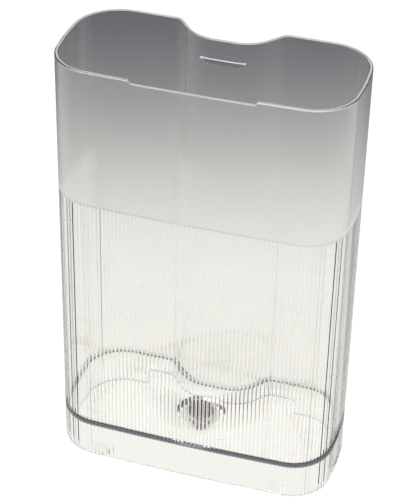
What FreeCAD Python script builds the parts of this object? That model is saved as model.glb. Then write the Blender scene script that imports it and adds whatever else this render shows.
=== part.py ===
"""Removable water tank of a small kitchen appliance, with its spring-loaded outlet valve.

Frame: +Z up, +X to the right seen from the front, -Y the front.  The origin is at the centre of
the tank's footprint, on the surface that it stands on.  Millimetres.

The tank is one clear moulding: an upright shell with a recess down its back, a floor that is
raised on a skirt, and an outlet spigot under the floor.  A valve cartridge is pushed into the
spigot from above.  A plunger with a rubber seal closes the cartridge; a spring holds it shut, and
a pin in the appliance lifts it.
"""

import FreeCAD, Part
import math
import os

import Sketcher

DOCUMENT = "water_tank"
TOLERANCE = 1e-4

# name, value in mm (or degrees where it says so), meaning
SIZES = [
    ("width", 125.0, "overall width of the tank"),
    ("depth", 57.4, "overall depth of the tank"),
    ("height", 195.4, "overall height of the tank"),
    ("wall", 1.5, "thickness of the walls and of the skirt"),
    ("front_bow", 1.3, "how far the middle of the front stands forward of its corners"),
    ("side_bow", 3.2, "how far the middle of each side stands out from its corners"),
    ("front_radius", 18.5, "outer radius of the front corners"),
    ("back_radius", 20.0, "outer radius of the back corners"),
    ("recess_mouth", 44.4, "width of the back recess at the back face"),
    ("recess_depth", 13.0, "depth of the back recess"),
    ("recess_slope", 52.0, "degrees between the recess's flanks and the back face"),
    ("lip_radius", 5.0, "outer radius where the recess meets the back face"),
    ("valley_radius", 16.0, "outer radius at the foot of the recess's flanks"),
    ("floor_top", 18.5, "height of the floor's upper face"),
    ("floor_thick", 2.0, "thickness of the floor"),
    ("floor_fillet", 2.8, "inner radius between the floor and the walls"),
    ("notch_width", 52.0, "width of the shallow notch in the front rim, at its top"),
    ("notch_drop", 1.7, "depth of the notch"),
    ("notch_slant", 1.0, "run of each slanted end of the notch"),
    ("catch_width", 19.3, "width of the lid catch inside the recess wall, at its top"),
    ("catch_foot", 13.4, "width of the lid catch at its foot"),
    ("catch_drop", 8.6, "distance of the lid catch below the rim"),
    ("catch_tall", 2.3, "height of the lid catch"),
    ("catch_proud", 1.0, "how far the lid catch's top stands out of the wall"),
    ("catch_foot_proud", 0.3, "how far its foot stands out of the wall"),
    ("cutout_width", 71.0, "width of the cut-out in the back of the skirt"),
    ("cutout_tall", 8.3, "height of the cut-out"),
    ("cutout_radius", 2.0, "radius of the cut-out's upper corners"),
    ("lug_width", 6.8, "width of each locating lug inside the front of the skirt"),
    ("lug_tall", 4.4, "height of each locating lug"),
    ("lug_proud", 1.4, "how far each locating lug stands out of the skirt"),
    ("lug_spacing", 80.4, "distance between the middles of the two locating lugs"),
    ("valve_back", -5.0, "place of the valve's axis behind the middle of the tank"),
    ("seat_rise", 0.2, "height of the valve seat above the floor"),
    ("collar_radius", 11.0, "outer radius of the collar round the cartridge"),
    ("collar_wall", 1.3, "thickness of the collar"),
    ("collar_tall", 1.0, "height of the collar above the floor"),
    ("flange_gap", 0.4, "radial gap between the cartridge's flange and the collar"),
    ("flange_thick", 0.9, "thickness of the cartridge's flange"),
    ("seat_play", 0.4, "radial room round the seal at the foot of the funnel"),
    ("funnel_flare", 1.2, "how much wider the funnel is at the flange's top"),
    ("key_width", 5.4, "width of the two keys on the cartridge's flange"),
    ("key_gap", 0.3, "gap at each side of a key in its slot"),
    ("plug_radius", 7.4, "radius of the part of the cartridge that fills the floor's hole"),
    ("plug_depth", 1.6, "depth of that part below the floor's upper face"),
    ("plug_gap", 0.1, "radial gap round that part"),
    ("gland_tall", 1.0, "height of the ring-shaped space that holds the cartridge's ring"),
    ("cup_wall", 1.5, "thickness of the cup under the floor"),
    ("spigot_radius", 6.0, "outer radius of the outlet spigot"),
    ("spigot_wall", 1.6, "thickness of the outlet spigot"),
    ("spigot_bottom", 8.0, "height of the spigot's lower end"),
    ("tube_gap", 0.05, "radial gap between the cartridge's tube and the spigot"),
    ("tube_wall", 0.85, "thickness of the cartridge's tube"),
    ("tube_inset", 1.0, "distance of the tube's lower end above the spigot's"),
    ("hub_top", 1.7, "depth of the guide hub's upper face below the seat"),
    ("hub_tall", 2.0, "height of the guide hub"),
    ("hub_radius", 2.5, "outer radius of the guide hub"),
    ("spoke_thick", 0.9, "thickness of the four spokes that hold the hub"),
    ("stem_radius", 1.5, "radius of the plunger's stem"),
    ("stem_gap", 0.05, "radial running gap of the stem in the hub"),
    ("neck_radius", 2.0, "radius of the neck that carries the seal"),
    ("bead_radius", 2.4, "radius of the bead under the neck, which keeps the seal on"),
    ("bead_tall", 0.5, "height of that bead"),
    ("seal_radius", 5.8, "outer radius of the seal"),
    ("seal_thick", 1.2, "thickness of the seal"),
    ("seal_edge", 0.3, "rounding of the seal's upper edge"),
    ("head_radius", 5.3, "radius of the plunger's head"),
    ("head_rim", 0.8, "height of the head's straight edge"),
    ("dome_tall", 1.0, "rise of the head's domed top"),
    ("mesh_thick", 0.25, "thickness of the strainer"),
    ("mesh_stem_gap", 0.25, "radial gap between the strainer and the stem"),
    ("mesh_tube_gap", 0.05, "radial gap between the strainer and the tube"),
    ("wire_radius", 0.22, "radius of the spring's wire"),
    ("spring_radius", 2.2, "mean radius of the spring"),
    ("spring_tall", 5.2, "length of the spring when the valve is shut"),
    ("spring_turns", 4.5, "number of turns of the spring"),
    ("tip_radius", 1.1, "radius of the stem's lower tip, which the cap grips"),
    ("cap_share", 0.45, "share of the gap from the spring to the bore that the cap covers"),
    ("cap_thick", 1.2, "thickness of the cap"),
]


def make_sheet(doc):
    """Puts every size into the spreadsheet, one row each: name, value, meaning."""
    sheet = doc.addObject("Spreadsheet::Sheet", "size")
    for row, (name, value, meaning) in enumerate(SIZES, start=1):
        sheet.set(f"A{row}", name)
        sheet.set(f"B{row}", str(value))
        sheet.set(f"C{row}", meaning)
        sheet.setAlias(f"B{row}", name)
    doc.recompute()
    return sheet


def bind(item, sizes):
    """Ties properties of an object to formulas: x, y, z mean its place, other names are its own."""
    for name, formula in sizes.items():
        path = f"Placement.Base.{name}" if name in ("x", "y", "z") else name
        item.setExpression(path, formula)
    return item


def cylinder(doc, name, radius, bottom, top, **place):
    item = doc.addObject("Part::Cylinder", name)
    return bind(item, dict(Radius=radius, Height=f"({top}) - ({bottom})", z=bottom, **place))


def block(doc, name, wide, deep, bottom, top, middle_y="0", middle_x="0"):
    """A box that is centred on middle_x and middle_y."""
    item = doc.addObject("Part::Box", name)
    return bind(item, {
        "Length": wide,
        "Width": deep,
        "Height": f"({top}) - ({bottom})",
        "x": f"({middle_x}) - ({wide}) / 2",
        "y": f"({middle_y}) - ({deep}) / 2",
        "z": bottom,
    })


def fuse(doc, name, items):
    item = doc.addObject("Part::MultiFuse", name)
    item.Shapes = items
    item.Refine = True
    return item


def common(doc, name, items):
    item = doc.addObject("Part::MultiCommon", name)
    item.Shapes = items
    return item


def cut(doc, name, base, tool):
    item = doc.addObject("Part::Cut", name)
    item.Base = base
    item.Tool = tool
    item.Refine = True
    return item


def origin_plane(body, role):
    return next(part for part in body.Origin.OriginFeatures if part.Role == role)


def edges_where(shape, test):
    return [f"Edge{i}" for i, edge in enumerate(shape.Edges, start=1) if test(edge)]


def upright_edges_at(shape, corners):
    """Names of the straight upright edges that pass through any of the given (x, y) points."""
    def test(edge):
        low, high = edge.Vertexes[0].Point, edge.Vertexes[-1].Point
        upright = abs(low.x - high.x) < TOLERANCE and abs(low.y - high.y) < TOLERANCE
        return upright and any(abs(low.x - x) + abs(low.y - y) < TOLERANCE for x, y in corners)
    return edges_where(shape, test)


def outline_points(size):
    """The sharp corners of the tank's outline, and the middles of its three bowed sides."""
    side = size.width / 2 - size.side_bow
    back = size.depth / 2
    mouth = size.recess_mouth / 2
    run = size.recess_depth / math.tan(math.radians(size.recess_slope))
    points = {
        "front": (0, -back),
        "front_right": (side, size.front_bow - back),
        "right": (size.width / 2, size.front_bow / 2),
        "back_right": (side, back),
        "lip_right": (mouth, back),
        "valley_right": (mouth - run, back - size.recess_depth),
    }
    for name in [name for name in points if name.endswith("right")]:
        x, y = points[name]
        points[name.replace("right", "left")] = (-x, y)
    return points


def add_arc(sketch, name, points, ends, formulas):
    """A bowed side through three points; its radius follows from its chord and its bow."""
    arc = sketch.addGeometry(Part.Arc(*(FreeCAD.Vector(*points[end], 0) for end in ends)))
    radius = Sketcher.Constraint("Radius", arc, sketch.Geometry[arc].Radius)
    sketch.renameConstraint(sketch.addConstraint(radius), name)
    if name == "front_arc":
        chord, bow = "(size.width / 2 - size.side_bow)", "size.front_bow"
    else:
        chord, bow = "((size.depth - size.front_bow) / 2)", "size.side_bow"
    formulas[name] = f"({chord} ^ 2 + {bow} ^ 2) / (2 * {bow})"
    return arc


def outline_sketch(doc, body):
    """The tank's outline with sharp corners: a bowed front, bowed sides and the back recess."""
    sketch = body.newObject("Sketcher::SketchObject", "outline")
    sketch.AttachmentSupport = [(origin_plane(body, "XY_Plane"), "")]
    sketch.MapMode = "FlatFace"
    points = outline_points(doc.size)
    formulas = {}
    front = add_arc(sketch, "front_arc", points, ("front_left", "front", "front_right"), formulas)
    right = add_arc(sketch, "right_arc", points, ("front_right", "right", "back_right"), formulas)
    corners = ["back_right", "lip_right", "valley_right", "valley_left", "lip_left", "back_left"]
    lines = [
        sketch.addGeometry(Part.LineSegment(*(FreeCAD.Vector(*points[end], 0) for end in ends)))
        for ends in zip(corners, corners[1:])
    ]
    left = add_arc(sketch, "left_arc", points, ("back_left", "left", "front_left"), formulas)
    start, end = 1, 2
    loop = [front, right, *lines, left]
    for one, following in zip(loop, loop[1:] + loop[:1]):
        sketch.addConstraint(Sketcher.Constraint("Coincident", one, end, following, start))
    y_axis = -2
    for one, other in ((right, left), (lines[0], lines[4]), (lines[1], lines[3])):
        sketch.addConstraint(Sketcher.Constraint("Symmetric", one, end, other, start, y_axis))
    sketch.addConstraint(Sketcher.Constraint("Symmetric", right, start, left, end, y_axis))

    half_side = "size.width / 2 - size.side_bow"
    run = "size.recess_depth / tan(size.recess_slope * 1 deg)"
    places = {
        "front_right": (right, start, half_side, "size.depth / 2 - size.front_bow"),
        "back_right": (right, end, half_side, "size.depth / 2"),
        "lip_right": (lines[0], end, "size.recess_mouth / 2", "size.depth / 2"),
        "valley_right": (lines[1], end, f"size.recess_mouth / 2 - {run}",
                         "size.depth / 2 - size.recess_depth"),
    }
    origin = (-1, 1)
    for name, (item, point, x_formula, y_formula) in places.items():
        x, y = points[name]
        across = Sketcher.Constraint("DistanceX", *origin, item, point, x)
        ends = (*origin, item, point) if y > 0 else (item, point, *origin)
        along = Sketcher.Constraint("DistanceY", *ends, abs(y))
        sketch.renameConstraint(sketch.addConstraint(across), f"{name}_x")
        sketch.renameConstraint(sketch.addConstraint(along), f"{name}_y")
        formulas[f"{name}_x"] = x_formula
        formulas[f"{name}_y"] = y_formula
    for name, formula in formulas.items():
        sketch.setExpression(f"Constraints.{name}", formula)
    doc.recompute()
    return sketch


def make_form(doc):
    """The tank's outer form as one solid: the outline padded up, with its upright edges rounded."""
    body = doc.addObject("PartDesign::Body", "form")
    sketch = outline_sketch(doc, body)
    feature = body.newObject("PartDesign::Pad", "pad")
    feature.Profile = sketch
    feature.setExpression("Length", "size.height")
    doc.recompute()
    points = outline_points(doc.size)
    for corner, radius in (("front", "front_radius"), ("back", "back_radius"),
                           ("lip", "lip_radius"), ("valley", "valley_radius")):
        places = [points[f"{corner}_left"], points[f"{corner}_right"]]
        edges = upright_edges_at(feature.Shape, places)
        rounded = body.newObject("PartDesign::Fillet", f"{corner}_corners")
        rounded.Base = (feature, edges)
        rounded.setExpression("Radius", f"size.{radius}")
        doc.recompute()
        feature = rounded
    return body


def make_walls(doc, form):
    """The form hollowed from both ends: the walls above the floor and the skirt below it."""
    ends = [
        f"Face{i}" for i, face in enumerate(form.Shape.Faces, start=1)
        if abs(abs(face.normalAt(0, 0).z) - 1) < TOLERANCE
    ]
    walls = doc.addObject("Part::Thickness", "walls")
    walls.Faces = (form, ends)
    walls.Join = "Intersection"
    walls.setExpression("Value", "-size.wall")
    return walls


def tapered_bar(doc, name, foot, top, foot_deep, top_deep, tall, back, bottom):
    """A bar whose width and depth change from its foot to its top; its back face is upright."""
    bar = doc.addObject("Part::Wedge", name)
    bar.Placement.Rotation = FreeCAD.Rotation(FreeCAD.Vector(1, 0, 0), 90)
    return bind(bar, {
        "Xmin": f"-({foot}) / 2", "Xmax": f"({foot}) / 2",
        "X2min": f"-({top}) / 2", "X2max": f"({top}) / 2",
        "Ymin": "0", "Ymax": tall,
        "Zmin": "0", "Zmax": foot_deep,
        "Z2min": "0", "Z2max": top_deep,
        "y": back, "z": bottom,
    })


def make_catch(doc, form):
    """The small ledge inside the recess wall, just under the rim, that a lid hooks on."""
    inner = "size.depth / 2 - size.recess_depth - size.wall"
    back = f"{inner} + size.wall + size.recess_depth / 2"
    reach = "size.wall + size.recess_depth / 2"
    bar = tapered_bar(
        doc, "catch_bar", "size.catch_foot", "size.catch_width",
        f"{reach} + size.catch_foot_proud", f"{reach} + size.catch_proud",
        "size.catch_tall", back, "size.height - size.catch_drop - size.catch_tall")
    return common(doc, "catch", [form, bar])


def make_lug(doc, form, name, side):
    """A locating lug inside the front of the skirt, at one side."""
    deep = "2 * (size.front_bow + size.wall + size.lug_proud)"
    bar = block(doc, f"{name}_bar", "size.lug_width", deep, "0", "size.lug_tall",
                middle_x=f"{side} * size.lug_spacing / 2", middle_y="-size.depth / 2")
    return common(doc, name, [form, bar])


def make_cutout(doc):
    """The block that is cut out of the back of the skirt, with its upper corners rounded."""
    inner = "(size.depth / 2 - size.recess_depth - 2 * size.wall)"
    outer = "(size.depth / 2 + size.wall)"
    bar = block(doc, "cutout_bar", "size.cutout_width", f"{outer} - {inner}",
                "-size.cutout_tall", "size.cutout_tall", middle_y=f"({outer} + {inner}) / 2")
    doc.recompute()
    top = doc.size.cutout_tall
    rounded = doc.addObject("Part::Fillet", "cutout")
    rounded.Base = bar
    rounded.Edges = [
        (i, doc.size.cutout_radius, doc.size.cutout_radius)
        for i, edge in enumerate(bar.Shape.Edges, start=1)
        if edge.BoundBox.YLength > TOLERANCE and abs(edge.BoundBox.ZMin - top) < TOLERANCE
    ]
    return rounded


def make_notch(doc):
    """The shallow notch in the front rim, which runs on above the rim at the same slant."""
    deep = "2 * (size.front_bow + size.wall)"
    return tapered_bar(
        doc, "notch", "size.notch_width - 2 * size.notch_slant",
        "size.notch_width + 2 * size.notch_slant", deep, deep,
        "2 * size.notch_drop", f"-size.depth / 2 + ({deep}) / 2", "size.height - size.notch_drop")


def make_tank(doc):
    """The tank moulding: walls, floor, skirt, collar, cup and spigot in one piece."""
    form = make_form(doc)
    walls = make_walls(doc, form)
    slab = block(doc, "floor_slab", "2 * size.width", "2 * size.depth",
                 "size.floor_top - size.floor_thick", "size.floor_top")
    floor = common(doc, "floor", [form, slab])
    shell = fuse(doc, "shell", [walls, floor])
    doc.recompute()
    rounded = doc.addObject("Part::Fillet", "floor_rounding")
    rounded.Base = shell
    rounded.Edges = [
        (i, doc.size.floor_fillet, doc.size.floor_fillet)
        for i, edge in enumerate(shell.Shape.Edges, start=1)
        if abs(edge.BoundBox.ZMin - doc.size.floor_top) < TOLERANCE
        and abs(edge.BoundBox.ZMax - doc.size.floor_top) < TOLERANCE
    ]

    on_valve = {"y": "size.valve_back"}
    gland_floor = "size.floor_top - size.plug_depth - size.gland_tall"
    cup_floor = f"{gland_floor} - size.cup_wall"
    hole_radius = "size.plug_radius + size.plug_gap"
    collar_top = "size.floor_top + size.collar_tall"
    above = f"{collar_top} + size.wall"
    collar = cylinder(doc, "collar", "size.collar_radius", "size.floor_top", collar_top, **on_valve)
    collar_inside = cylinder(doc, "collar_inside", "size.collar_radius - size.collar_wall",
                             "size.floor_top", above, **on_valve)
    cup = cylinder(doc, "cup", f"{hole_radius} + size.cup_wall", cup_floor,
                   "size.floor_top - size.floor_thick / 2", **on_valve)
    spigot = cylinder(doc, "spigot", "size.spigot_radius", "size.spigot_bottom", gland_floor,
                      **on_valve)
    plug_hole = cylinder(doc, "plug_hole", hole_radius, gland_floor, above, **on_valve)
    spigot_bore = cylinder(doc, "spigot_bore", "size.spigot_radius - size.spigot_wall",
                           "size.spigot_bottom - size.wall", above, **on_valve)
    key_slots = block(doc, "key_slots", "2 * (size.collar_radius + size.wall)",
                      "size.key_width + 2 * size.key_gap", "size.floor_top", above,
                      middle_y="size.valve_back")
    catch = make_catch(doc, form)
    lugs = [make_lug(doc, form, name, side) for name, side in (("left_lug", -1), ("right_lug", 1))]
    added = fuse(doc, "tank_solid", [rounded, collar, cup, spigot, catch, *lugs])
    removed = fuse(doc, "tank_cuts", [collar_inside, plug_hole, spigot_bore, key_slots,
                                      make_cutout(doc), make_notch(doc)])
    return cut(doc, "tank_shell", added, removed)


def on_valve_axis(item):
    """Moves a valve piece, which is drawn about its own axis from the seat, into the tank."""
    return bind(item, {"y": "size.valve_back", "z": "size.floor_top + size.seat_rise"})


SEAT = "(size.floor_top + size.seat_rise)"
TUBE_RADIUS = "(size.spigot_radius - size.spigot_wall - size.tube_gap)"
BORE_RADIUS = f"({TUBE_RADIUS} - size.tube_wall)"
HUB_FOOT = "(-size.hub_top - size.hub_tall)"
SPRING_FOOT = f"({HUB_FOOT} - size.spring_tall)"
STEM_FOOT = f"({SPRING_FOOT} - size.cap_thick)"


def make_cartridge(doc):
    """The valve's clear body: a keyed flange with a funnel, a plug, a tube and a cross-shaped guide."""
    flange_radius = "size.collar_radius - size.collar_wall - size.flange_gap"
    flange_top = "size.flange_thick - size.seat_rise"
    plug_foot = "-size.seat_rise - size.plug_depth"
    tube_foot = f"size.spigot_bottom + size.tube_inset - {SEAT}"
    flange = cylinder(doc, "flange", flange_radius, "-size.seat_rise", flange_top)
    keys = block(doc, "keys", "2 * size.collar_radius", "size.key_width", "-size.seat_rise",
                 flange_top)
    keys_round = cylinder(doc, "keys_round", "size.collar_radius", "-size.seat_rise", flange_top)
    plug = cylinder(doc, "plug", "size.plug_radius", plug_foot, "-size.seat_rise")
    tube = cylinder(doc, "tube", TUBE_RADIUS, tube_foot, plug_foot)
    solid = fuse(doc, "cartridge_solid", [flange, common(doc, "round_keys", [keys, keys_round]),
                                          plug, tube])
    funnel = doc.addObject("Part::Cone", "funnel")
    bind(funnel, {
        "Radius1": "size.seal_radius + size.seat_play",
        "Radius2": "size.seal_radius + size.seat_play + size.funnel_flare",
        "Height": flange_top,
    })
    bore = cylinder(doc, "bore", BORE_RADIUS, f"{tube_foot} - 1", "size.flange_thick")
    hollow = cut(doc, "cartridge_hollow", solid, fuse(doc, "cartridge_cuts", [funnel, bore]))
    hub = cylinder(doc, "hub", "size.hub_radius", HUB_FOOT, "-size.hub_top")
    span = f"2 * {BORE_RADIUS} + size.tube_wall"
    spokes = [
        block(doc, "spokes_across", span, "size.spoke_thick", HUB_FOOT, "-size.hub_top"),
        block(doc, "spokes_along", "size.spoke_thick", span, HUB_FOOT, "-size.hub_top"),
    ]
    guided = fuse(doc, "cartridge_guided", [hollow, hub, *spokes])
    stem_bore = cylinder(doc, "stem_bore", "size.stem_radius + size.stem_gap",
                         f"{HUB_FOOT} - 1", "0")
    return on_valve_axis(cut(doc, "valve_cartridge", guided, stem_bore))


def make_cartridge_ring(doc):
    """The rubber ring under the cartridge's plug, round its tube."""
    ring = doc.addObject("Part::Torus", "cartridge_ring")
    return bind(ring, {
        "Radius1": f"({TUBE_RADIUS} + size.plug_radius + size.plug_gap) / 2",
        "Radius2": "size.gland_tall / 2",
        "y": "size.valve_back",
        "z": "size.floor_top - size.plug_depth - size.gland_tall / 2",
    })


def make_strainer(doc):
    """The fine steel mesh washer that lies on the guide, round the stem."""
    top = "-size.hub_top + size.mesh_thick"
    disc = cylinder(doc, "mesh_disc", f"{BORE_RADIUS} - size.mesh_tube_gap", "-size.hub_top", top)
    hole = cylinder(doc, "mesh_hole", "size.stem_radius + size.mesh_stem_gap", "-size.hub_top", top)
    return on_valve_axis(cut(doc, "outlet_strainer", disc, hole))


def make_plunger(doc):
    """The plunger: a domed head, a neck and bead that hold the seal, a stem and its thin tip."""
    head_top = "size.seal_thick + size.head_rim + size.dome_tall"
    barrel = cylinder(doc, "head_barrel", "size.head_radius", "size.seal_thick", head_top)
    dome = doc.addObject("Part::Sphere", "head_dome")
    dome_radius = "(size.head_radius ^ 2 + size.dome_tall ^ 2) / (2 * size.dome_tall)"
    bind(dome, {"Radius": dome_radius, "z": f"{head_top} - {dome_radius}"})
    head = common(doc, "head", [barrel, dome])
    neck = cylinder(doc, "neck", "size.neck_radius", "-size.bead_tall", "size.seal_thick")
    bead = cylinder(doc, "bead", "size.bead_radius", "-size.bead_tall", "0")
    stem = cylinder(doc, "stem", "size.stem_radius", SPRING_FOOT, "0")
    tip = cylinder(doc, "tip", "size.tip_radius", STEM_FOOT, "0")
    return on_valve_axis(fuse(doc, "plunger", [head, neck, bead, stem, tip]))


def make_seal(doc):
    """The rubber seal round the plunger's neck, with its upper edge rounded."""
    disc = cylinder(doc, "seal_disc", "size.seal_radius", "0", "size.seal_thick")
    hole = cylinder(doc, "seal_hole", "size.neck_radius", "0", "size.seal_thick")
    ring = cut(doc, "seal_ring", disc, hole)
    doc.recompute()
    rounded = doc.addObject("Part::Fillet", "plunger_seal")
    rounded.Base = ring
    rounded.Edges = [
        (i, doc.size.seal_edge, doc.size.seal_edge)
        for i, edge in enumerate(ring.Shape.Edges, start=1)
        if abs(edge.BoundBox.ZMin - doc.size.seal_thick) < TOLERANCE
        and edge.BoundBox.XLength > 2 * (doc.size.neck_radius + doc.size.seal_edge)
    ]
    return on_valve_axis(rounded)


def make_spring(doc):
    """The steel spring between the guide and the cap, wound up from its lowest point."""
    body = doc.addObject("PartDesign::Body", "return_spring")
    sketch = body.newObject("Sketcher::SketchObject", "spring_wire")
    sketch.AttachmentSupport = [(origin_plane(body, "XZ_Plane"), "")]
    sketch.MapMode = "FlatFace"
    size = doc.size
    middle = FreeCAD.Vector(size.spring_radius, size.wire_radius, 0)
    wire = sketch.addGeometry(Part.Circle(middle, FreeCAD.Vector(0, 0, 1), size.wire_radius))
    centre, origin = (wire, 3), (-1, 1)
    measures = {
        "wire": (Sketcher.Constraint("Radius", wire, size.wire_radius), "size.wire_radius"),
        "out": (Sketcher.Constraint("DistanceX", *origin, *centre, size.spring_radius),
                "size.spring_radius"),
        "up": (Sketcher.Constraint("DistanceY", *origin, *centre, size.wire_radius),
               "size.wire_radius"),
    }
    for name, (constraint, formula) in measures.items():
        sketch.renameConstraint(sketch.addConstraint(constraint), name)
        sketch.setExpression(f"Constraints.{name}", formula)
    doc.recompute()
    coil = body.newObject("PartDesign::AdditiveHelix", "spring_coil")
    coil.Profile = sketch
    coil.ReferenceAxis = (sketch, ["V_Axis"])
    coil.Mode = "height-turns-angle"
    bind(coil, {"Height": "size.spring_tall - 2 * size.wire_radius", "Turns": "size.spring_turns"})
    return bind(body, {"y": "size.valve_back", "z": f"{SEAT} + {SPRING_FOOT}"})


def make_cap(doc):
    """The cap on the stem's tip, which carries the spring's lower end."""
    coil = "(size.spring_radius + size.wire_radius)"
    rim = f"{coil} + size.cap_share * ({BORE_RADIUS} - {coil})"
    disc = cylinder(doc, "cap_disc", rim, STEM_FOOT, SPRING_FOOT)
    hole = cylinder(doc, "cap_hole", "size.tip_radius", STEM_FOOT, SPRING_FOOT)
    return on_valve_axis(cut(doc, "stem_cap", disc, hole))


def check(doc, pieces):
    """Stops if anything in the document failed or a piece isn't one valid closed solid."""
    failed = [item.Name for item in doc.Objects if {"Invalid", "Error"} & set(item.State)]
    if failed:
        raise RuntimeError(f"these objects failed: {failed}")
    for piece in pieces:
        shape = piece.Shape
        if shape.isNull() or not shape.isValid() or len(shape.Solids) != 1:
            raise RuntimeError(f"{piece.Label} isn't one valid solid")


def main():
    doc = FreeCAD.newDocument(DOCUMENT)
    make_sheet(doc)
    makers = [make_tank, make_cartridge, make_cartridge_ring, make_strainer, make_plunger,
              make_seal, make_spring, make_cap]
    pieces = [maker(doc) for maker in makers]
    doc.recompute()
    check(doc, pieces)
    os.makedirs("parts", exist_ok=True)
    for piece in pieces:
        piece.Label = piece.Name
        piece.Shape.exportStep(f"parts/{piece.Label}.step")
        box = piece.Shape.optimalBoundingBox(True, False)
        print(f"{piece.Label}: {piece.Shape.Volume:.2f} mm3, "
              f"z {box.ZMin:.2f} to {box.ZMax:.2f}, {box.XLength:.2f} x {box.YLength:.2f}")


main()
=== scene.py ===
"""Looks for the clear water tank: a ribbed, partly satin plastic shell and its outlet valve.

Metres, +Z up, -Y the front.  The tank's shell is a mesh made here round the same outline as the
CAD solid, with fine ribs on its front and its sides.  The spring and the strainer are meshes made
here too, and the valve's other pieces keep their CAD shapes.
"""

import math

import bmesh
import bpy
from mathutils import Matrix, Vector


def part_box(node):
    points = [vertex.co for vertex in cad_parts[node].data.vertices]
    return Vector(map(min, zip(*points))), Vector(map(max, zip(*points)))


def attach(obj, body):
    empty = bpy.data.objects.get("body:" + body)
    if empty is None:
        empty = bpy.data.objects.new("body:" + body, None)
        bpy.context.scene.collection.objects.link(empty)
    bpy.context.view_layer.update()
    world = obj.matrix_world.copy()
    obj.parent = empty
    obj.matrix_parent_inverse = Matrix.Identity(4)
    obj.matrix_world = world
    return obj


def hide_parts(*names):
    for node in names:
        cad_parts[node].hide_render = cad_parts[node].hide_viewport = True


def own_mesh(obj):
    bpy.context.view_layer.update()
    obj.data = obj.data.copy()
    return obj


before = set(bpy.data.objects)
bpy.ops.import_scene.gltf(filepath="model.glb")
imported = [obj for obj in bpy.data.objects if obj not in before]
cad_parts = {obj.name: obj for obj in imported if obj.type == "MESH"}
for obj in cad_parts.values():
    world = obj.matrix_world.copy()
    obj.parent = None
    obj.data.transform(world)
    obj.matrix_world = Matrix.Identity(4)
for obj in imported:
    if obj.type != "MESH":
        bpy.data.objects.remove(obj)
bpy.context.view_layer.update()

MM = 0.001

# ---------------------------------------------------------------- sizes, in millimetres
TANK_LOW, TANK_HIGH = (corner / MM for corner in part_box("tank_shell"))
WIDTH = TANK_HIGH.x - TANK_LOW.x
DEPTH = TANK_HIGH.y - TANK_LOW.y
HEIGHT = TANK_HIGH.z
WALL = 1.5
FRONT_BOW = 1.3
SIDE_BOW = 3.2
FRONT_RADIUS = 18.5
BACK_RADIUS = 20.0
RECESS_MOUTH = 44.4
RECESS_DEPTH = 13.0
RECESS_SLOPE = math.radians(52)
LIP_RADIUS = 5.0
VALLEY_RADIUS = 16.0

FLOOR_TOP = 18.5
FLOOR_THICK = 2.0
FLOOR_FILLET = 2.8
FRONT_FILLET = 0.5       # the same fillet along the front
PAINTED_BAND_LOW = FLOOR_TOP - 2.0   # the strip of the wall where the floor's edge shows through; it is painted: painted shade at the front, painted light at the back
PAINTED_BAND_HIGH = FLOOR_TOP + 0.4
RIM_OUTER = 0.55          # roundings of the rim's edges
RIM_INNER = 0.25
NOTCH_EDGE = 0.08        # rounding of both edges inside the notch
FOOT_RADIUS = 0.12
SUPPORT = 0.2            # how near an extra ring of points stands to each rounding

RIB_PITCH = 1.75
RIB_WIDTH = 0.5          # share of the pitch
RIB_DEPTH = 0.30
RIB_STEPS = 10
RIB_CROWN = 1.5          # 1 is a sharp ridge, 2 a round one
RIB_TOP = 133.0
RIB_RUNOUT = 1.0
RIBBED_SHOULDER = 0.4    # share of each back shoulder that the ribs reach round

NOTCH_WIDTH = 52.0
NOTCH_DROP = 1.7
NOTCH_SLANT = 1.0
CUTOUT_WIDTH = 71.0
CUTOUT_TALL = 8.3
CUTOUT_RADIUS = 2.0

VALVE_Y = -5.0
COLLAR_RADIUS = 11.0
COLLAR_WALL = 1.3
COLLAR_TALL = 1.0
KEY_SLOT = 6.0
KEY_SLOT_RISE = 0.02     # how far the floor of a key slot stands above the tank's floor
HOLE_RADIUS = 7.5
GLAND_Z = 15.9
CUP_WALL = 1.5
SPIGOT_RADIUS = 6.0
SPIGOT_WALL = 1.6
SPIGOT_BOTTOM = 8.0
WELL_EDGE = 0.15         # bevel of the collar's, the cup's and the spigot's edges

SEATING = 0.01           # gap between a small shape and the face that it sits on
CATCH_DROP = 8.6         # the lid catch's top, under the rim
CATCH_TALL = 2.3
CATCH_TOP_HALF, CATCH_TOP_PROUD = 9.65, 1.0
CATCH_FOOT_HALF, CATCH_FOOT_PROUD = 6.7, 0.3
LEVEL_HALF, LEVEL_PROUD = 7.7, 0.12
LEVEL_LOW, LEVEL_HIGH = 84.0, 84.4
LUG_X = 40.2
LUG_HALF = 3.4
LUG_TALL = 4.4
LUG_FRONT = 0.70         # from the skirt's inner face in the middle of the front
LUG_BACK = 2.02
MARK_TALL = 0.12
FLOOR_MARKS = [          # the middle of each ring, its outer and its inner radius
    (-30.4, -3.7, 2.6, 2.3), (30.4, -3.7, 2.6, 2.3), (-43.7, -12.8, 7.6, 7.35),
    (-43.7, -12.8, 3.0, 2.75), (46.5, -18.7, 1.9, 1.6), (14.4, -19.3, 1.6, 1.3),
]

SPRING_FOOT = 9.8
SPRING_TALL = 5.2
SPRING_RADIUS = 2.2
SPRING_WIRE = 0.22       # the wire's radius
SPRING_TURNS = 6.0
CLOSED_TURNS = 1.0       # at each end
CLOSED_RISE = 0.9        # rise of one closed turn, in radii of the wire
TURN_STEPS = 28

MESH_OUTER = 3.4
MESH_INNER = 1.8
MESH_PITCH = 0.34
MESH_WIRE = 0.055        # the wires' radius, and how far they weave up and down
MESH_STEPS = 4           # points to one pitch


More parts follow.
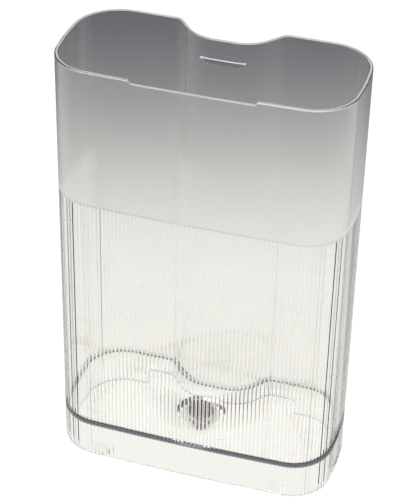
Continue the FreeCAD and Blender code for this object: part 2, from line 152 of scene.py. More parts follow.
# ---------------------------------------------------------------- the tank's outline
def fillet_centre(one, other, near):
    """Where two circles (centre, radius) cross, taking the crossing nearer to the point near."""
    (c1, r1), (c2, r2) = one, other
    gap = c2 - c1
    along = (gap.length_squared + r1 * r1 - r2 * r2) / (2 * gap.length)
    across = math.sqrt(max(r1 * r1 - along * along, 0))
    middle = c1 + gap.normalized() * along
    side = Vector((-gap.y, gap.x)).normalized() * across
    return min((middle + side, middle - side), key=lambda point: (point - near).length)


def arc(centre, radius, start, end, outward=1):
    """A stretch of the outline: an arc from one angle to another."""
    return {"kind": "arc", "centre": centre, "radius": radius, "start": start, "end": end,
            "outward": outward, "length": abs(end - start) * radius}


def line(start, end):
    return {"kind": "line", "start": start, "end": end, "length": (end - start).length}


def angle_of(vector):
    return math.atan2(vector.y, vector.x)


def right_half():
    """The outline's right half, from the middle of the front round to the middle of the recess."""
    back = DEPTH / 2
    chord = WIDTH / 2 - SIDE_BOW
    front_radius = (chord ** 2 + FRONT_BOW ** 2) / (2 * FRONT_BOW)
    front_centre = Vector((0, front_radius - back))
    half_side = (DEPTH - FRONT_BOW) / 2
    side_radius = (half_side ** 2 + SIDE_BOW ** 2) / (2 * SIDE_BOW)
    side_centre = Vector((WIDTH / 2 - side_radius, FRONT_BOW / 2))
    corner = fillet_centre((front_centre, front_radius - FRONT_RADIUS),
                           (side_centre, side_radius - FRONT_RADIUS), Vector((chord, -back)))
    shoulder_y = back - BACK_RADIUS
    reach = side_radius - BACK_RADIUS
    shoulder = Vector((side_centre.x + math.sqrt(reach ** 2 - (shoulder_y - side_centre.y) ** 2),
                       shoulder_y))
    down = Vector((-math.cos(RECESS_SLOPE), -math.sin(RECESS_SLOPE)))
    tangent = math.tan(RECESS_SLOPE / 2)
    mouth = Vector((RECESS_MOUTH / 2, back))
    valley = mouth + down * (RECESS_DEPTH / math.sin(RECESS_SLOPE))
    lip_centre = mouth + Vector((LIP_RADIUS * tangent, -LIP_RADIUS))
    valley_centre = valley + Vector((-VALLEY_RADIUS * tangent, VALLEY_RADIUS))
    quarter = math.pi / 2
    to_corner = angle_of(corner - front_centre)
    to_side = angle_of(corner - side_centre)
    to_shoulder = angle_of(shoulder - side_centre)
    return [
        arc(front_centre, front_radius, -quarter, to_corner),
        arc(corner, FRONT_RADIUS, to_corner, to_side),
        arc(side_centre, side_radius, to_side, to_shoulder),
        arc(shoulder, BACK_RADIUS, to_shoulder, quarter),
        line(Vector((shoulder.x, back)), Vector((lip_centre.x, back))),
        arc(lip_centre, LIP_RADIUS, quarter, quarter + RECESS_SLOPE),
        line(mouth + down * LIP_RADIUS * tangent, valley - down * VALLEY_RADIUS * tangent),
        arc(valley_centre, VALLEY_RADIUS, RECESS_SLOPE - quarter, -quarter, outward=-1),
        line(Vector((valley_centre.x, valley.y)), Vector((0, valley.y))),
    ]


def point_on(stretch, share):
    """The point and the outward normal at a share of a stretch's length."""
    if stretch["kind"] == "line":
        run = stretch["end"] - stretch["start"]
        return stretch["start"] + run * share, Vector((run.y, -run.x)).normalized()
    angle = stretch["start"] + (stretch["end"] - stretch["start"]) * share
    out = Vector((math.cos(angle), math.sin(angle)))
    return stretch["centre"] + out * stretch["radius"], out * stretch["outward"]


def at_distance(half, distance):
    """The point and the normal at a distance along the right half."""
    for stretch in half:
        if distance <= stretch["length"]:
            return point_on(stretch, distance / stretch["length"])
        distance -= stretch["length"]
    return point_on(half[-1], 1.0)


def rib_samples():
    """Shares of one pitch, and how deep the surface lies there: a flat, then a crowned rib."""
    samples = [(0.0, RIB_DEPTH)]
    for step in range(RIB_STEPS + 1):
        side = 2 * step / RIB_STEPS - 1
        samples.append((0.5 + side * RIB_WIDTH / 2, RIB_DEPTH * abs(side) ** RIB_CROWN))
    return samples


def outline_samples():
    """(x, y, normal, rib depth) round the whole outline.

    The back has no ribs but one in each lip of its recess, whose two grooves show as dark lines.
    """
    half = right_half()
    length = sum(stretch["length"] for stretch in half)
    count = round(length / RIB_PITCH)
    pitch = length / count
    front_and_side = sum(stretch["length"] for stretch in half[:3])
    ribbed = front_and_side + half[3]["length"] * RIBBED_SHOULDER
    last_crest = round(ribbed / pitch) + 0.5
    lip = sum(stretch["length"] for stretch in half[:5]) + half[5]["length"] / 2
    lip_rib = int(lip / pitch)
    right = []
    for rib in range(count):
        for share, depth in rib_samples():
            place = rib + share
            if place > last_crest and rib != lip_rib:
                depth = 0
            right.append((*at_distance(half, place * pitch), depth))
    right.append((*at_distance(half, length), 0))
    left = [(Vector((-p.x, p.y)), Vector((-n.x, n.y)), depth) for p, n, depth in right[1:-1]]
    return right + left[::-1]


OUTLINE = outline_samples()


# the skins of the tank's plastic, in the order of its material slots; three of them paint light and
# shade on the clear plastic: a highlight on the rim's and the bars' tops, shade along the floor's
# edge at the front and the foot at the back, and light along the foot at the front and the floor's
# edge at the back
CLEAR, SATIN, PAINTED_HIGHLIGHT, PAINTED_SHADE, PAINTED_LIGHT, WELL = range(6)


# ---------------------------------------------------------------- mesh helpers
def new_piece(name, bm, materials, body, smooth_angle=35):
    """Turns a bmesh into a piece that rides on a body, smooth except at its sharp edges."""
    bmesh.ops.recalc_face_normals(bm, faces=bm.faces)
    limit = math.radians(smooth_angle)
    for face in bm.faces:
        face.smooth = True
    for edge in bm.edges:
        edge.smooth = len(edge.link_faces) == 2 and edge.calc_face_angle(0) < limit
    mesh = bpy.data.meshes.new(name)
    bm.to_mesh(mesh)
    bm.free()
    for material in materials:
        mesh.materials.append(material)
    piece = bpy.data.objects.new(name, mesh)
    bpy.context.scene.collection.objects.link(piece)
    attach(piece, body)
    return piece


def bridge(bm, lower, upper, skin=0):
    """Faces between two rings of the same number of points."""
    count = len(lower)
    for i in range(count):
        j = (i + 1) % count
        face = bm.faces.new((lower[i], lower[j], upper[j], upper[i]))
        face.material_index = skin


def ring_edges(bm, ring):
    return [bm.edges.get((ring[i], ring[i - 1])) for i in range(len(ring))]


# ---------------------------------------------------------------- the tank's shell
def notch_share(point):
    """How far a point of the outline is into the front notch: 0 outside it, 1 inside."""
    if point.y > 0:
        return 0.0
    return min(max((NOTCH_WIDTH / 2 - abs(point.x)) / NOTCH_SLANT, 0.0), 1.0)


def rim_height(point):
    return HEIGHT - NOTCH_DROP * notch_share(point)


def rim_rounding(radius):
    """The rim's edges are nearly sharp in the notch."""
    return lambda point: radius + (NOTCH_EDGE - radius) * notch_share(point)


def foot_height(point):
    """Height of the skirt's lower edge: raised over the back cut-out, with rounded corners."""
    inside = CUTOUT_WIDTH / 2 - abs(point.x)
    if point.y < 0 or inside < 0:
        return 0.0
    if inside > CUTOUT_RADIUS:
        return CUTOUT_TALL
    across = CUTOUT_RADIUS - inside
    return CUTOUT_TALL - CUTOUT_RADIUS + math.sqrt(CUTOUT_RADIUS ** 2 - across ** 2)


def floor_fillet(point):
    """Radius of the fillet inside the floor's edge: small at the front, full from the middle."""
    share = min(max((point.y + DEPTH / 2) / (DEPTH / 2), 0.0), 1.0)
    return FRONT_FILLET + (FLOOR_FILLET - FRONT_FILLET) * share * share * (3 - 2 * share)


def outline_ring(bm, inset, height):
    """A ring of points round the outline; inset is a function of (point, rib depth)."""
    ring = []
    for point, normal, depth in OUTLINE:
        place = point - normal * inset(point, depth)
        ring.append(bm.verts.new((place.x * MM, place.y * MM, height(point) * MM)))
    return ring


def quarter(steps):
    """(inset, drop) shares round a quarter of a rounded edge, from its face to its top."""
    turns = [math.pi / 2 * step / steps for step in range(steps + 1)]
    return [(1 - math.cos(turn), 1 - math.sin(turn)) for turn in turns]


def shell_profile():
    """The shell's section from the inside of the floor over the rim to the underside.

    Each entry is (inset, height, skin): functions that place a ring of points, and the skin of
    the strip that ends at that ring.
    """
    profile = []

    def ring(inset, height, skin=CLEAR):
        profile.append((inset, height, skin))

    for step in range(7):
        turn = math.pi / 2 * step / 6
        inset, rise = 1 - math.sin(turn), 1 - math.cos(turn)
        ring(lambda point, depth, i=inset: WALL + i * floor_fillet(point),
             lambda point, r=rise: FLOOR_TOP + r * floor_fillet(point))
    ring(lambda point, depth: WALL, lambda point: FLOOR_TOP + floor_fillet(point) + SUPPORT)
    inner, outer = rim_rounding(RIM_INNER), rim_rounding(RIM_OUTER)
    ring(lambda point, depth: WALL, lambda point: rim_height(point) - inner(point) - SUPPORT)
    for inset, drop in quarter(3):
        ring(lambda point, depth, i=inset: WALL - i * inner(point),
             lambda point, d=drop: rim_height(point) - d * inner(point))
    # The rim's flat top, the strip that ends at the first ring here, gets a painted highlight: a
    # pale bluish half-clear skin that the lamps light up.
    for step, (inset, drop) in enumerate(quarter(5)[::-1]):
        ring(lambda point, depth, i=inset: i * outer(point),
             lambda point, d=drop: rim_height(point) - d * outer(point),
             SATIN if step else PAINTED_HIGHLIGHT)
    ring(lambda point, depth: 0.0,
         lambda point: rim_height(point) - outer(point) - SUPPORT, SATIN)
    for height in (RIB_TOP + RIB_RUNOUT + SUPPORT, RIB_TOP + RIB_RUNOUT):
        ring(lambda point, depth: 0.0, lambda point, z=height: z, SATIN)
    # The strip down to the band's lower ring gets a dark purplish, half-clear skin: painted shade
    # where the floor's edge shows through the front wall.
    for height, skin in ((RIB_TOP, SATIN), (RIB_TOP - SUPPORT, CLEAR), (PAINTED_BAND_HIGH, CLEAR),
                         (PAINTED_BAND_LOW, PAINTED_SHADE)):
        ring(lambda point, depth: depth, lambda point, z=height: z, skin)
    ring(lambda point, depth: depth, lambda point: foot_height(point) + FOOT_RADIUS + SUPPORT)
    # The foot's rounding gets a pale, half-clear skin that the lamps light up: painted light along
    # the foot's edge.
    for inset, drop in quarter(2):
        ring(lambda point, depth, i=inset: depth + i * FOOT_RADIUS,
             lambda point, d=drop: foot_height(point) + d * FOOT_RADIUS, PAINTED_LIGHT)
    for inset, drop in quarter(2)[::-1]:
        ring(lambda point, depth, i=inset: WALL - i * FOOT_RADIUS,
             lambda point, d=drop: foot_height(point) + d * FOOT_RADIUS, PAINTED_LIGHT)
    ring(lambda point, depth: WALL, lambda point: foot_height(point) + FOOT_RADIUS + SUPPORT)
    ring(lambda point, depth: WALL, lambda point: FLOOR_TOP - FLOOR_THICK)
    return profile


def well_angles():
    """Angles round the valve's axis, with extra ones at the sides of the two key slots."""
    count = 96
    angles = [2 * math.pi * i / count for i in range(count)]
    edge = math.asin(KEY_SLOT / 2 / COLLAR_RADIUS)
    for middle in (0, math.pi):
        angles += [(middle + side * (edge + nudge)) % (2 * math.pi)
                   for side in (-1, 1) for nudge in (-0.002, 0.002)]
    return sorted(angles)


def well_ring(bm, radius, height):
    """A ring round the valve's axis; the collar is missing in its key slots."""
    ring = []
    for angle in well_angles():
        x, y = radius * math.cos(angle), radius * math.sin(angle)
        z = height
        if height > FLOOR_TOP and abs(COLLAR_RADIUS * math.sin(angle)) < KEY_SLOT / 2:
            z = FLOOR_TOP + KEY_SLOT_RISE
        ring.append(bm.verts.new((x * MM, (VALVE_Y + y) * MM, z * MM)))
    return ring


def well_rings(bm):
    """Collar, hole, cup and spigot, from the floor's upper face round to its underside."""
    collar_top = FLOOR_TOP + COLLAR_TALL
    bore = SPIGOT_RADIUS - SPIGOT_WALL
    cup = HOLE_RADIUS + CUP_WALL
    profile = [
        (COLLAR_RADIUS, FLOOR_TOP),
        (COLLAR_RADIUS, collar_top - WELL_EDGE),
        (COLLAR_RADIUS - WELL_EDGE, collar_top),
        (COLLAR_RADIUS - COLLAR_WALL + WELL_EDGE, collar_top),
        (COLLAR_RADIUS - COLLAR_WALL, collar_top - WELL_EDGE),
        (COLLAR_RADIUS - COLLAR_WALL, FLOOR_TOP),
        (HOLE_RADIUS, FLOOR_TOP),
        (HOLE_RADIUS, GLAND_Z),
        (bore, GLAND_Z),
        (bore, SPIGOT_BOTTOM + WELL_EDGE),
        (bore + WELL_EDGE, SPIGOT_BOTTOM),
        (SPIGOT_RADIUS - WELL_EDGE, SPIGOT_BOTTOM),
        (SPIGOT_RADIUS, SPIGOT_BOTTOM + WELL_EDGE),
        (SPIGOT_RADIUS, GLAND_Z - CUP_WALL),
        (cup - WELL_EDGE, GLAND_Z - CUP_WALL),
        (cup, GLAND_Z - CUP_WALL + WELL_EDGE),
        (cup, FLOOR_TOP - FLOOR_THICK),
    ]
    return [well_ring(bm, radius, height) for radius, height in profile]


def make_shell(skins):
    bm = bmesh.new()
    profile = shell_profile()
    rings = [outline_ring(bm, inset, height) for inset, height, skin in profile]
    for lower, upper, (inset, height, skin) in zip(rings, rings[1:], profile[1:]):
        bridge(bm, lower, upper, skin)
    # At the back the two painted skins swap: painted shade on the foot's rounding, painted light on
    # the floor edge's strip.
    at_back = {PAINTED_LIGHT: PAINTED_SHADE, PAINTED_SHADE: PAINTED_LIGHT}
    for face in bm.faces:
        if face.calc_center_median().y > 0:
            face.material_index = at_back.get(face.material_index, face.material_index)
    well = well_rings(bm)
    for upper, lower in zip(well, well[1:]):
        bridge(bm, upper, lower, WELL)
    for outer, inner in ((rings[0], well[0]), (rings[-1], well[-1])):
        bmesh.ops.triangle_fill(bm, use_beauty=True,
                                edges=ring_edges(bm, outer) + ring_edges(bm, inner))
    shell = new_piece("tank_wall", bm, skins, "tank")
    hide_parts("tank_shell")


# ---------------------------------------------------------------- small shapes of the tank
def inner_recess(x):
    """Where the inside of the recess wall is at a place across it."""
    flat = right_half()[-1]["start"].x
    middle = DEPTH / 2 - RECESS_DEPTH - WALL
    reach = VALLEY_RADIUS + WALL
    out = max(abs(x) - flat, 0.0)
    return middle + reach - math.sqrt(reach ** 2 - out ** 2)


def add_bar(bm, top, foot, stations=12):
    """A bar on the recess wall: (half width, how proud, height) of its top and of its foot."""
    rows = []
    for step in range(stations + 1):
        side = 2 * step / stations - 1
        row = []
        for half, proud, height in (top, foot):
            x = side * half
            front = DEPTH / 2 - RECESS_DEPTH - WALL - proud
            for y in (front, inner_recess(x) - SEATING):
                row.append(bm.verts.new((x * MM, y * MM, height * MM)))
        rows.append((row[0], row[1], row[3], row[2]))
    for one, two in zip(rows, rows[1:]):
        for i in range(4):
            face = bm.faces.new((one[i], one[i - 1], two[i - 1], two[i]))
            # The bar's top face gets the pale half-clear skin: a painted highlight.
            face.material_index = PAINTED_HIGHLIGHT if i == 1 else CLEAR
    bm.faces.new(rows[0])
    bm.faces.new(rows[-1][::-1])


def make_catch(skins):
    """The lid's catch under the rim, and the level line lower down, both on the recess wall."""
    bm = bmesh.new()
    top = HEIGHT - CATCH_DROP
    add_bar(bm, (CATCH_TOP_HALF, CATCH_TOP_PROUD, top),
            (CATCH_FOOT_HALF, CATCH_FOOT_PROUD, top - CATCH_TALL))
    new_piece("lid_catch", bm, skins, "tank", smooth_angle=20)
    bm = bmesh.new()
    add_bar(bm, (LEVEL_HALF, LEVEL_PROUD, LEVEL_HIGH), (LEVEL_HALF, LEVEL_PROUD, LEVEL_LOW))
    new_piece("level_line", bm, skins, "tank", smooth_angle=20)


def add_block(bm, low, high):
    """A plain box, in millimetres."""
    middle = (Vector(low) + Vector(high)) / 2 * MM
    size = (Vector(high) - Vector(low)) * MM
    scale = Matrix.Diagonal((*size, 1))
    bmesh.ops.create_cube(bm, size=1, matrix=Matrix.Translation(middle) @ scale)


def make_lugs(skins):
    """The two locating lugs inside the front of the skirt."""
    bm = bmesh.new()
    skirt = -DEPTH / 2 + WALL
    for side in (-1, 1):
        x = side * LUG_X
        add_block(bm, (x - LUG_HALF, skirt + LUG_FRONT, 0.0),
                  (x + LUG_HALF, skirt + LUG_BACK, LUG_TALL))
    new_piece("skirt_lugs", bm, skins, "tank")


def add_washer(bm, x, y, outer, inner, tall):
    """A low ring on the floor."""
    count = 40
    rings = []
    for radius, z in ((outer, SEATING), (outer, tall), (inner, tall), (inner, SEATING)):
        rings.append([
            bm.verts.new(((x + radius * math.cos(2 * math.pi * i / count)) * MM,
                          (y + radius * math.sin(2 * math.pi * i / count)) * MM,
                          (FLOOR_TOP + z) * MM))
            for i in range(count)
        ])
    for one, two in zip(rings, rings[1:] + rings[:1]):
        bridge(bm, one, two)


def make_floor_marks(skins):
    """The traces that the mould leaves in the floor: ejector pins and an insert's edge."""
    bm = bmesh.new()
    for x, y, outer, inner in FLOOR_MARKS:
        add_washer(bm, x, y, outer, inner, MARK_TALL)
    new_piece("mould_marks", bm, skins, "tank")


# ---------------------------------------------------------------- spring and strainer
def sweep(bm, path, radius, sides=8):
    """A round wire along a path of points, in millimetres, with closed ends."""
    rings = []
    for i, place in enumerate(path):
        along = (path[min(i + 1, len(path) - 1)] - path[max(i - 1, 0)]).normalized()
        out = along.orthogonal() if abs(along.z) > 0.9 else along.cross(Vector((0, 0, 1)))
        out.normalize()
        up = out.cross(along)
        rings.append([
            bm.verts.new((place + out * radius * math.cos(turn) + up * radius * math.sin(turn)) * MM)
            for turn in (2 * math.pi * side / sides for side in range(sides))
        ])
    for one, two in zip(rings, rings[1:]):
        bridge(bm, one, two)
    bm.faces.new(rings[0])
    bm.faces.new(rings[-1][::-1])


def make_spring(material):
    """A spring with closed end turns, which the plunger squashes as it lifts; here it keeps one
    length.
    """
    closed_rise = SPRING_WIRE * CLOSED_RISE
    open_rise = SPRING_TALL - 2 * SPRING_WIRE - 2 * closed_rise * CLOSED_TURNS
    open_turns = SPRING_TURNS - 2 * CLOSED_TURNS
    path = []
    for step in range(int(SPRING_TURNS * TURN_STEPS) + 1):
        turn = step / TURN_STEPS
        open_share = min(max((turn - CLOSED_TURNS) / open_turns, 0.0), 1.0)
        crept = min(turn, CLOSED_TURNS) + max(turn - SPRING_TURNS + CLOSED_TURNS, 0.0)
        z = SPRING_FOOT + SPRING_WIRE + closed_rise * crept + open_rise * open_share
        angle = 2 * math.pi * turn
        x, y = SPRING_RADIUS * math.cos(angle), SPRING_RADIUS * math.sin(angle)
        path.append(Vector((x, VALVE_Y + y, z)))
    bm = bmesh.new()
    sweep(bm, path, SPRING_WIRE)
    spring = new_piece("spring_coil", bm, [material], "tank", smooth_angle=60)
    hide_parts("return_spring")
    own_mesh(spring)


def wire_runs(across):
    """The stretches of a strainer's wire at a distance from the middle: two where it has a hole."""
    half = math.sqrt(MESH_OUTER ** 2 - across ** 2)
    if abs(across) >= MESH_INNER:
        return [(-half, half)]
    gap = math.sqrt(MESH_INNER ** 2 - across ** 2)
    return [(-half, -gap), (gap, half)]


def make_strainer(material):
    """The strainer's woven wires, between the stem and the tube."""
    low, high = (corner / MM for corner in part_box("outlet_strainer"))
    middle = (low.z + high.z) / 2
    bm = bmesh.new()
    count = int(MESH_OUTER / MESH_PITCH)
    for number in range(-count, count + 1):
        across = number * MESH_PITCH
        for start, end in wire_runs(across):
            steps = max(int((end - start) / MESH_PITCH * MESH_STEPS), 2)
            for lengthwise in (True, False):
                path = []
                for step in range(steps + 1):
                    along = start + (end - start) * step / steps
                    phase = math.pi * (along / MESH_PITCH + number + (0 if lengthwise else 1))
                    z = middle + MESH_WIRE * math.cos(phase)
                    x, y = (along, across) if lengthwise else (across, along)
                    path.append(Vector((x, VALVE_Y + y, z)))
                sweep(bm, path, MESH_WIRE, sides=5)
    strainer = new_piece("strainer_mesh", bm, [material], "tank", smooth_angle=80)
    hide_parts("outlet_strainer")


# ---------------------------------------------------------------- materials
PLASTIC_GRAIN = 900.0    # scales of the noise that varies each material
SOLID_GRAIN = 600.0
RELIEF = 0.0001          # metres that the grain stands proud
PLASTIC_IOR = 1.5
SHADOW_TINT = (0.95, 0.95, 0.95, 1)
MIX_FIRST, MIX_SECOND, MIX_RESULT = 6, 7, 2     # a colour mix node's sockets


def nodes_of(name):
    """A new material with an empty node tree."""
    material = bpy.data.materials.new(name)
    material.use_nodes = True
    tree = material.node_tree
    tree.nodes.clear()
    return material, tree


def add(tree, kind, **inputs):
    """A node, with values or links for its inputs, named as in the interface."""
    node = tree.nodes.new(kind)
    for name, value in inputs.items():
        socket = node.inputs[name.replace("_", " ")]
        if isinstance(value, bpy.types.NodeSocket):
            tree.links.new(value, socket)
        else:
            socket.default_value = value
    return node


def clear_with_shadow(tree, surface):
    """Ends a clear material: lamps shine through it, so that it casts only a faint shadow."""
    path = tree.nodes.new("ShaderNodeLightPath")
    through = add(tree, "ShaderNodeBsdfTransparent", Color=SHADOW_TINT)
    mix = add(tree, "ShaderNodeMixShader", Fac=path.outputs["Is Shadow Ray"])
    tree.links.new(surface, mix.inputs[1])
    tree.links.new(through.outputs["BSDF"], mix.inputs[2])
    out = tree.nodes.new("ShaderNodeOutputMaterial")
    tree.links.new(mix.outputs["Shader"], out.inputs["Surface"])


def plastic(name, tint, rough, spread, clear=1.0, relief=0.0):
    """A see-through plastic whose gloss varies a little over the surface."""
    material, tree = nodes_of(name)
    grain = add(tree, "ShaderNodeTexNoise", Scale=PLASTIC_GRAIN, Detail=2.0)
    gloss = add(tree, "ShaderNodeMapRange", Value=grain.outputs["Fac"],
                To_Min=rough - spread, To_Max=rough + spread)
    shader = add(tree, "ShaderNodeBsdfPrincipled", Base_Color=(*tint, 1), IOR=PLASTIC_IOR,
                 Roughness=gloss.outputs["Result"], Transmission_Weight=clear)
    if relief:
        bump = add(tree, "ShaderNodeBump", Strength=relief, Distance=RELIEF,
                   Height=grain.outputs["Fac"])
        tree.links.new(bump.outputs["Normal"], shader.inputs["Normal"])
    clear_with_shadow(tree, shader.outputs["BSDF"])
    return material


def thin_plastic(name, tint, rough):
    """A thin clear plastic: it bends no light, and shows its edges by what they mirror."""
    material, tree = nodes_of(name)
    grain = add(tree, "ShaderNodeTexNoise", Scale=PLASTIC_GRAIN, Detail=2.0)
    gloss = add(tree, "ShaderNodeMapRange", Value=grain.outputs["Fac"], To_Min=rough - 0.02,
                To_Max=rough + 0.02)
    skin = add(tree, "ShaderNodeBsdfPrincipled", Base_Color=(0.75, 0.75, 0.76, 1),
               IOR=PLASTIC_IOR, Roughness=gloss.outputs["Result"])
    through = add(tree, "ShaderNodeBsdfTransparent", Color=(*tint, 1))
    facing = add(tree, "ShaderNodeLayerWeight", Blend=0.35)
    share = add(tree, "ShaderNodeMapRange", Value=facing.outputs["Facing"], From_Min=0.3,
                From_Max=1.0, To_Min=0.03, To_Max=0.45)
    mix = add(tree, "ShaderNodeMixShader", Fac=share.outputs["Result"])
    tree.links.new(through.outputs["BSDF"], mix.inputs[1])
    tree.links.new(skin.outputs["BSDF"], mix.inputs[2])
    out = tree.nodes.new("ShaderNodeOutputMaterial")
    tree.links.new(mix.outputs["Shader"], out.inputs["Surface"])
    return material


def solid_material(name, dark, light, rough, metallic=0.0, shine=0.5):
    """An opaque material with a fine mottle in colour, roughness and surface."""
    material, tree = nodes_of(name)
    grain = add(tree, "ShaderNodeTexNoise", Scale=SOLID_GRAIN, Detail=4.0)
    colour = add(tree, "ShaderNodeMix", Factor=grain.outputs["Fac"])
    colour.data_type = "RGBA"
    for index, value in ((MIX_FIRST, dark), (MIX_SECOND, light)):
        colour.inputs[index].default_value = (*value, 1)
    gloss = add(tree, "ShaderNodeMapRange", Value=grain.outputs["Fac"],
                To_Min=rough - 0.06, To_Max=rough + 0.06)
    relief = add(tree, "ShaderNodeBump", Strength=0.1, Distance=RELIEF,
                 Height=grain.outputs["Fac"])
    shader = add(tree, "ShaderNodeBsdfPrincipled", Base_Color=colour.outputs[MIX_RESULT],
                 Roughness=gloss.outputs["Result"], Metallic=metallic,
                 Normal=relief.outputs["Normal"], Specular_IOR_Level=shine)
    out = tree.nodes.new("ShaderNodeOutputMaterial")
    tree.links.new(shader.outputs["BSDF"], out.inputs["Surface"])
    return material


# ---------------------------------------------------------------- stage
LIGHT_CENTRE = (0.0, -0.10, 0.0)
LIGHT_AWAY = (-0.278, 0.960, 0.0)     # the way in which the floor darkens, behind the tank
FLOOR_SIZE = 6.0          # half its width
FLOOR_GAP = 0.0002        # how far it lies under the tank's foot
FLOOR_GLOW = 1.08
BACKDROP_GLOW = 1.05
LAMP_POWER = 7.0          # watts
LAMP_AIM = (0.0, 0.0, 0.1)

CAMERA_TURN = math.radians(16.161)    # to the right of the front
CAMERA_TILT = math.radians(34.827)    # above level
CAMERA_ROLL = math.radians(1.474)
CAMERA_AWAY = 0.7571
CAMERA_AIM = Vector((0, 0, 0.08333))
CAMERA_RIGHT, CAMERA_UP = 0.00066, 0.01616    # its shift across the view
CAMERA_LENS = 126.68
FLOOR_LIGHT = [           # metres that way from the centre, and the floor's light there
    (0.15, (0.87, 0.86, 0.83)), (0.22, (0.84, 0.83, 0.81)), (0.27, (0.72, 0.715, 0.70)),
    (0.33, (0.50, 0.497, 0.49)), (0.37, (0.315, 0.31, 0.315)), (0.42, (0.175, 0.168, 0.185)),
    (0.50, (0.075, 0.070, 0.089)), (0.75, (0.03, 0.026, 0.038)),
]
SKY_LIGHT = [             # how far towards the front a ray goes, and the studio's light there
    (0.0, (0.042, 0.039, 0.048)), (0.3, (0.06, 0.057, 0.066)), (1.0, (0.12, 0.12, 0.12)),
]


def fill_ramp(ramp, stops):
    elements = ramp.color_ramp.elements
    while len(elements) < len(stops):
        elements.new(0.5)
    for element, (position, colour) in zip(elements, stops):
        element.position = position
        element.color = (*colour, 1)


def make_floor():
    """A white light-table floor: it fades behind the tank for every ray but the camera's."""
    bm = bmesh.new()
    bmesh.ops.create_grid(bm, x_segments=1, y_segments=1, size=FLOOR_SIZE)
    mesh = bpy.data.meshes.new("floor")
    bm.to_mesh(mesh)
    bm.free()
    floor = bpy.data.objects.new("floor", mesh)
    floor.location.z = -FLOOR_GAP
    bpy.context.scene.collection.objects.link(floor)
    material, tree = nodes_of("floor_white")
    place = tree.nodes.new("ShaderNodeTexCoord").outputs["Object"]
    offset = add(tree, "ShaderNodeVectorMath")
    offset.operation = "SUBTRACT"
    tree.links.new(place, offset.inputs[0])
    offset.inputs[1].default_value = LIGHT_CENTRE
    reach = tree.nodes.new("ShaderNodeVectorMath")
    reach.operation = "DOT_PRODUCT"
    tree.links.new(offset.outputs["Vector"], reach.inputs[0])
    reach.inputs[1].default_value = LIGHT_AWAY
    ramp = add(tree, "ShaderNodeValToRGB", Fac=reach.outputs["Value"])
    fill_ramp(ramp, FLOOR_LIGHT)
    path = tree.nodes.new("ShaderNodeLightPath")
    seen = tree.nodes.new("ShaderNodeMix")
    seen.data_type = "RGBA"
    tree.links.new(path.outputs["Is Camera Ray"], seen.inputs[0])
    tree.links.new(ramp.outputs["Color"], seen.inputs[MIX_FIRST])
    seen.inputs[MIX_SECOND].default_value = (1, 1, 1, 1)
    glow = add(tree, "ShaderNodeEmission", Color=seen.outputs[MIX_RESULT], Strength=FLOOR_GLOW)
    out = tree.nodes.new("ShaderNodeOutputMaterial")
    tree.links.new(glow.outputs["Emission"], out.inputs["Surface"])
    mesh.materials.append(material)


def make_world():
    """White behind the object for the camera; for other rays dim, and lighter to the front."""
    world = bpy.data.worlds.new("studio")
    bpy.context.scene.world = world
    world.use_nodes = True
    tree = world.node_tree
    tree.nodes.clear()
    way = tree.nodes.new("ShaderNodeTexCoord").outputs["Generated"]
    forward = tree.nodes.new("ShaderNodeVectorMath")
    forward.operation = "DOT_PRODUCT"
    tree.links.new(way, forward.inputs[0])
    forward.inputs[1].default_value = [-part for part in LIGHT_AWAY]
    ramp = add(tree, "ShaderNodeValToRGB", Fac=forward.outputs["Value"])
    fill_ramp(ramp, SKY_LIGHT)
    path = tree.nodes.new("ShaderNodeLightPath")
    sky = add(tree, "ShaderNodeBackground", Color=ramp.outputs["Color"])
    white = add(tree, "ShaderNodeBackground", Color=(1, 1, 1, 1),
                Strength=BACKDROP_GLOW)
    mix = add(tree, "ShaderNodeMixShader", Fac=path.outputs["Is Camera Ray"])
    tree.links.new(sky.outputs["Background"], mix.inputs[1])
    tree.links.new(white.outputs["Background"], mix.inputs[2])
    out = tree.nodes.new("ShaderNodeOutputWorld")
    tree.links.new(mix.outputs["Shader"], out.inputs["Surface"])


def add_area(name, place, size):
    """A rectangular lamp that points at the tank."""
    light = bpy.data.lights.new(name, "AREA")
    light.shape = "RECTANGLE"
    light.size, light.size_y = size
    light.energy = LAMP_POWER
    lamp = bpy.data.objects.new(name, light)
    lamp.location = place
    way = Vector(LAMP_AIM) - Vector(place)
    lamp.rotation_euler = way.to_track_quat("-Z", "Y").to_euler()
    bpy.context.scene.collection.objects.link(lamp)


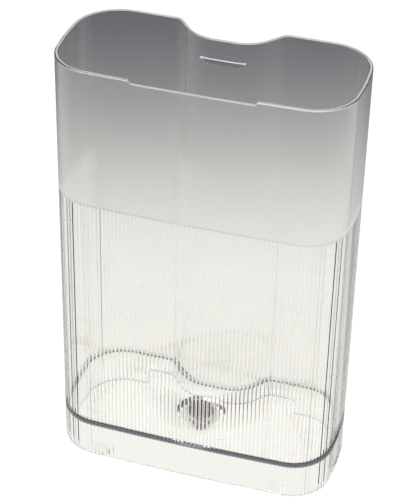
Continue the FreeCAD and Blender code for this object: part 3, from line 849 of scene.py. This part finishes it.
def make_camera():
    """A long lens at the front right of the tank, looking down at it."""
    turn, tilt, roll = CAMERA_TURN, CAMERA_TILT, CAMERA_ROLL
    back = Vector((math.sin(turn) * math.cos(tilt), -math.cos(turn) * math.cos(tilt),
                   math.sin(tilt)))
    level = Vector((math.cos(turn), math.sin(turn), 0))
    rise = back.cross(level)
    right = level * math.cos(roll) + rise * math.sin(roll)
    up = rise * math.cos(roll) - level * math.sin(roll)
    place = CAMERA_AIM + back * CAMERA_AWAY + right * CAMERA_RIGHT + up * CAMERA_UP
    camera = bpy.data.objects.new("camera", bpy.data.cameras.new("camera"))
    camera.matrix_world = Matrix((
        (right.x, up.x, back.x, place.x),
        (right.y, up.y, back.y, place.y),
        (right.z, up.z, back.z, place.z),
        (0, 0, 0, 1),
    ))
    camera.data.sensor_width = 36
    camera.data.lens = CAMERA_LENS
    camera.data.clip_start = 0.01
    bpy.context.scene.collection.objects.link(camera)
    bpy.context.scene.camera = camera


# ---------------------------------------------------------------- the scene
def dress(node, material):
    """Gives a CAD node its material."""
    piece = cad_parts[node]
    piece.data.materials.clear()
    piece.data.materials.append(material)


def main():
    bpy.context.scene.view_settings.view_transform = "Standard"
    make_camera()
    make_world()
    make_floor()
    add_area("front_box", (-0.1, -0.9, 1.2), (0.9, 0.6))
    add_area("top_box", (0.0, 0.2, 1.4), (1.0, 1.0))
    add_area("back_box", (0.1, 1.2, 0.95), (1.6, 0.7))
    skins = [
        plastic("tank_clear", (0.97, 0.97, 0.955), 0.03, 0.015),
        plastic("tank_satin", (0.95, 0.95, 0.95), 0.24, 0.03, relief=0.04),
        # A pale bluish, half-clear skin: a painted highlight on the rim's flat top and on the
        # catch's and the level line's tops.
        plastic("tank_painted_highlight", (0.80, 0.80, 0.85), 0.35, 0.05, clear=0.35),
        # A dark purplish, half-clear skin: painted shade along the floor's edge at the front and
        # along the foot at the back.
        plastic("tank_painted_shade", (0.27, 0.26, 0.33), 0.10, 0.02, clear=0.35),
        # A pale, half-clear skin: painted light along the foot at the front and along the floor's
        # edge at the back.
        plastic("tank_painted_light", (0.90, 0.90, 0.89), 0.20, 0.03, clear=0.45),
        thin_plastic("tank_valve_well", (0.96, 0.96, 0.95), 0.06),
    ]
    make_shell(skins)
    make_catch(skins)
    make_lugs(skins)
    make_floor_marks(skins)
    black = solid_material("black_acetal", (0.004, 0.004, 0.004), (0.010, 0.010, 0.010), 0.38,
                           shine=0.2)
    dress("valve_cartridge", thin_plastic("valve_clear", (0.95, 0.95, 0.94), 0.08))
    dress("plunger", black)
    dress("stem_cap", black)
    dress("plunger_seal", solid_material("red_silicone", (0.10, 0.008, 0.014),
                                         (0.15, 0.014, 0.022), 0.45))
    dress("cartridge_ring", solid_material("pale_silicone", (0.62, 0.62, 0.60),
                                           (0.72, 0.72, 0.70), 0.45))
    make_strainer(solid_material("steel_mesh", (0.45, 0.45, 0.46), (0.62, 0.62, 0.63), 0.32,
                                 metallic=1.0))
    make_spring(solid_material("spring_steel", (0.48, 0.48, 0.49), (0.60, 0.60, 0.61), 0.25,
                               metallic=1.0))


main()
